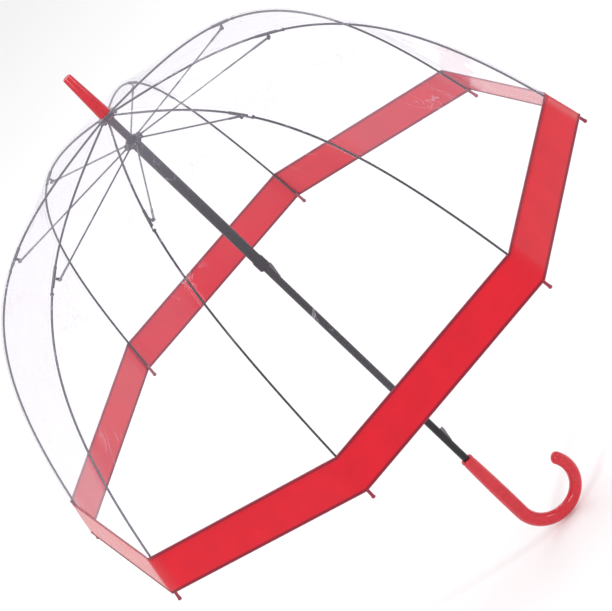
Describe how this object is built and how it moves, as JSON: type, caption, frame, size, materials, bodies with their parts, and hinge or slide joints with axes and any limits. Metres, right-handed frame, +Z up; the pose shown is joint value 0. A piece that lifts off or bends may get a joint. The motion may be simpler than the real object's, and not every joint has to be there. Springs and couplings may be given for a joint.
{
  "type": "bubble umbrella",
  "caption": "Dome umbrella, open: clear film canopy with a red hem on jointed wire ribs, sliding runner, sprung catches, red crook handle.",
  "frame": {"origin": "middle of the straight grip, on the shaft's axis", "axes": "+Z up the shaft to the ferrule; the crook opens towards +X"},
  "size_m": [0.8238, 0.8238, 0.9218],
  "materials": {
    "black_steel": "semi-gloss black enamel",
    "plated_steel": "dull plating",
    "black_plastic": "moulded, satin",
    "clear_film": "clear glossy film",
    "red_film": "glossy opaque film",
    "red_plastic": "glossy moulded",
    "tip_plastic": "moulded"
  },
  "bodies": {
    "frame": {"shaft_tube": "black_steel", "top_notch": "black_plastic", "notch_ring_wire": "plated_steel", "canopy_film": "clear_film", "hem_band": "red_film", "canopy_rosette": "clear_film", "ferrule": "red_plastic", "crook_handle": "red_plastic", "handle_collar": "red_plastic"},
    "runner": {"runner_tube": "black_steel", "runner_crown": "black_plastic", "runner_ring_wire": "plated_steel"},
    "upper_spring": {"upper_catch": "plated_steel"},
    "lower_spring": {"lower_catch": "plated_steel"},
    "rib_1": {"inner_rib_1": "black_steel", "rib_bracket_1": "black_plastic"},
    "tail_1": {"outer_rib_1": "black_steel", "rib_tip_1": "tip_plastic"},
    "strut_1": {"stretcher_1": "plated_steel"},
    "rib_2": {"inner_rib_2": "black_steel", "rib_bracket_2": "black_plastic"},
    "tail_2": {"outer_rib_2": "black_steel", "rib_tip_2": "tip_plastic"},
    "strut_2": {"stretcher_2": "plated_steel"},
    "rib_3": {"inner_rib_3": "black_steel", "rib_bracket_3": "black_plastic"},
    "tail_3": {"outer_rib_3": "black_steel", "rib_tip_3": "tip_plastic"},
    "strut_3": {"stretcher_3": "plated_steel"},
    "rib_4": {"inner_rib_4": "black_steel", "rib_bracket_4": "black_plastic"},
    "tail_4": {"outer_rib_4": "black_steel", "rib_tip_4": "tip_plastic"},
    "strut_4": {"stretcher_4": "plated_steel"},
    "rib_5": {"inner_rib_5": "black_steel", "rib_bracket_5": "black_plastic"},
    "tail_5": {"outer_rib_5": "black_steel", "rib_tip_5": "tip_plastic"},
    "strut_5": {"stretcher_5": "plated_steel"},
    "rib_6": {"inner_rib_6": "black_steel", "rib_bracket_6": "black_plastic"},
    "tail_6": {"outer_rib_6": "black_steel", "rib_tip_6": "tip_plastic"},
    "strut_6": {"stretcher_6": "plated_steel"},
    "rib_7": {"inner_rib_7": "black_steel", "rib_bracket_7": "black_plastic"},
    "tail_7": {"outer_rib_7": "black_steel", "rib_tip_7": "tip_plastic"},
    "strut_7": {"stretcher_7": "plated_steel"},
    "rib_8": {"inner_rib_8": "black_steel", "rib_bracket_8": "black_plastic"},
    "tail_8": {"outer_rib_8": "black_steel", "rib_tip_8": "tip_plastic"},
    "strut_8": {"stretcher_8": "plated_steel"}
  },
  "joints": [
    {"name": "runner_slide", "type": "slide", "parent": "frame", "child": "runner", "axis": [0, 0, -1], "range_m": [0, 0.3648], "deforming": ["canopy_film", "hem_band", "upper_catch", "lower_catch"]},
    {"name": "rib_hinge_1", "type": "hinge", "parent": "frame", "child": "rib_1", "pos_m": [0.01162, -0.003, 0.74], "axis": [0.2504, 0.9681, 0], "range_deg": [0, 71.12]},
    {"name": "tail_hinge_1", "type": "hinge", "parent": "rib_1", "child": "tail_1", "pos_m": [0.22543, -0.0583, 0.67373], "axis": [-0.2504, -0.9681, 0], "range_deg": [0, 42.57]},
    {"name": "strut_hinge_1", "type": "hinge", "parent": "runner", "child": "strut_1", "pos_m": [0.01162, -0.003, 0.6943], "axis": [-0.2504, -0.9681, 0], "range_deg": [0, 93.29]},
    {"name": "rib_hinge_2", "type": "hinge", "parent": "frame", "child": "rib_2", "pos_m": [0.01034, 0.00609, 0.74], "axis": [-0.5075, 0.8616, 0], "range_deg": [0, 71.12]},
    {"name": "tail_hinge_2", "type": "hinge", "parent": "rib_2", "child": "tail_2", "pos_m": [0.20063, 0.11818, 0.67373], "axis": [0.5075, -0.8616, 0], "range_deg": [0, 42.57]},
    {"name": "strut_hinge_2", "type": "hinge", "parent": "runner", "child": "strut_2", "pos_m": [0.01034, 0.00609, 0.6943], "axis": [0.5075, -0.8616, 0], "range_deg": [0, 93.29]},
    {"name": "rib_hinge_3", "type": "hinge", "parent": "frame", "child": "rib_3", "pos_m": [0.003, 0.01162, 0.74], "axis": [-0.9681, 0.2504, 0], "range_deg": [0, 71.12]},
    {"name": "tail_hinge_3", "type": "hinge", "parent": "rib_3", "child": "tail_3", "pos_m": [0.0583, 0.22543, 0.67373], "axis": [0.9681, -0.2504, 0], "range_deg": [0, 42.57]},
    {"name": "strut_hinge_3", "type": "hinge", "parent": "runner", "child": "strut_3", "pos_m": [0.003, 0.01162, 0.6943], "axis": [0.9681, -0.2504, 0], "range_deg": [0, 93.29]},
    {"name": "rib_hinge_4", "type": "hinge", "parent": "frame", "child": "rib_4", "pos_m": [-0.00609, 0.01034, 0.74], "axis": [-0.8616, -0.5075, 0], "range_deg": [0, 71.12]},
    {"name": "tail_hinge_4", "type": "hinge", "parent": "rib_4", "child": "tail_4", "pos_m": [-0.11818, 0.20063, 0.67373], "axis": [0.8616, 0.5075, 0], "range_deg": [0, 42.57]},
    {"name": "strut_hinge_4", "type": "hinge", "parent": "runner", "child": "strut_4", "pos_m": [-0.00609, 0.01034, 0.6943], "axis": [0.8616, 0.5075, 0], "range_deg": [0, 93.29]},
    {"name": "rib_hinge_5", "type": "hinge", "parent": "frame", "child": "rib_5", "pos_m": [-0.01162, 0.003, 0.74], "axis": [-0.2504, -0.9681, 0], "range_deg": [0, 71.12]},
    {"name": "tail_hinge_5", "type": "hinge", "parent": "rib_5", "child": "tail_5", "pos_m": [-0.22543, 0.0583, 0.67373], "axis": [0.2504, 0.9681, 0], "range_deg": [0, 42.57]},
    {"name": "strut_hinge_5", "type": "hinge", "parent": "runner", "child": "strut_5", "pos_m": [-0.01162, 0.003, 0.6943], "axis": [0.2504, 0.9681, 0], "range_deg": [0, 93.29]},
    {"name": "rib_hinge_6", "type": "hinge", "parent": "frame", "child": "rib_6", "pos_m": [-0.01034, -0.00609, 0.74], "axis": [0.5075, -0.8616, 0], "range_deg": [0, 71.12]},
    {"name": "tail_hinge_6", "type": "hinge", "parent": "rib_6", "child": "tail_6", "pos_m": [-0.20063, -0.11818, 0.67373], "axis": [-0.5075, 0.8616, 0], "range_deg": [0, 42.57]},
    {"name": "strut_hinge_6", "type": "hinge", "parent": "runner", "child": "strut_6", "pos_m": [-0.01034, -0.00609, 0.6943], "axis": [-0.5075, 0.8616, 0], "range_deg": [0, 93.29]},
    {"name": "rib_hinge_7", "type": "hinge", "parent": "frame", "child": "rib_7", "pos_m": [-0.003, -0.01162, 0.74], "axis": [0.9681, -0.2504, 0], "range_deg": [0, 71.12]},
    {"name": "tail_hinge_7", "type": "hinge", "parent": "rib_7", "child": "tail_7", "pos_m": [-0.0583, -0.22543, 0.67373], "axis": [-0.9681, 0.2504, 0], "range_deg": [0, 42.57]},
    {"name": "strut_hinge_7", "type": "hinge", "parent": "runner", "child": "strut_7", "pos_m": [-0.003, -0.01162, 0.6943], "axis": [-0.9681, 0.2504, 0], "range_deg": [0, 93.29]},
    {"name": "rib_hinge_8", "type": "hinge", "parent": "frame", "child": "rib_8", "pos_m": [0.00609, -0.01034, 0.74], "axis": [0.8616, 0.5075, 0], "range_deg": [0, 71.12]},
    {"name": "tail_hinge_8", "type": "hinge", "parent": "rib_8", "child": "tail_8", "pos_m": [0.11818, -0.20063, 0.67373], "axis": [-0.8616, -0.5075, 0], "range_deg": [0, 42.57]},
    {"name": "strut_hinge_8", "type": "hinge", "parent": "runner", "child": "strut_8", "pos_m": [0.00609, -0.01034, 0.6943], "axis": [-0.8616, -0.5075, 0], "range_deg": [0, 93.29]},
    {"name": "upper_catch_press", "type": "slide", "parent": "frame", "child": "upper_spring", "axis": [-1, 0, 0], "range_m": [0, 0.004], "stiffness_N_per_m": 400},
    {"name": "lower_catch_press", "type": "slide", "parent": "frame", "child": "lower_spring", "axis": [-1, 0, 0], "range_m": [0, 0.004], "stiffness_N_per_m": 400}
  ],
  "couplings": [
    {"joint": "rib_hinge_1", "follows": "runner_slide", "rad_per_m": 3.3952},
    {"joint": "tail_hinge_1", "follows": "runner_slide", "rad_per_m": 2.0294},
    {"joint": "strut_hinge_1", "follows": "runner_slide", "rad_per_m": 4.456},
    {"joint": "rib_hinge_2", "follows": "runner_slide", "rad_per_m": 3.3952},
    {"joint": "tail_hinge_2", "follows": "runner_slide", "rad_per_m": 2.0294},
    {"joint": "strut_hinge_2", "follows": "runner_slide", "rad_per_m": 4.456},
    {"joint": "rib_hinge_3", "follows": "runner_slide", "rad_per_m": 3.3952},
    {"joint": "tail_hinge_3", "follows": "runner_slide", "rad_per_m": 2.0294},
    {"joint": "strut_hinge_3", "follows": "runner_slide", "rad_per_m": 4.456},
    {"joint": "rib_hinge_4", "follows": "runner_slide", "rad_per_m": 3.3952},
    {"joint": "tail_hinge_4", "follows": "runner_slide", "rad_per_m": 2.0294},
    {"joint": "strut_hinge_4", "follows": "runner_slide", "rad_per_m": 4.456},
    {"joint": "rib_hinge_5", "follows": "runner_slide", "rad_per_m": 3.3952},
    {"joint": "tail_hinge_5", "follows": "runner_slide", "rad_per_m": 2.0294},
    {"joint": "strut_hinge_5", "follows": "runner_slide", "rad_per_m": 4.456},
    {"joint": "rib_hinge_6", "follows": "runner_slide", "rad_per_m": 3.3952},
    {"joint": "tail_hinge_6", "follows": "runner_slide", "rad_per_m": 2.0294},
    {"joint": "strut_hinge_6", "follows": "runner_slide", "rad_per_m": 4.456},
    {"joint": "rib_hinge_7", "follows": "runner_slide", "rad_per_m": 3.3952},
    {"joint": "tail_hinge_7", "follows": "runner_slide", "rad_per_m": 2.0294},
    {"joint": "strut_hinge_7", "follows": "runner_slide", "rad_per_m": 4.456},
    {"joint": "rib_hinge_8", "follows": "runner_slide", "rad_per_m": 3.3952},
    {"joint": "tail_hinge_8", "follows": "runner_slide", "rad_per_m": 2.0294},
    {"joint": "strut_hinge_8", "follows": "runner_slide", "rad_per_m": 4.456}
  ]
}
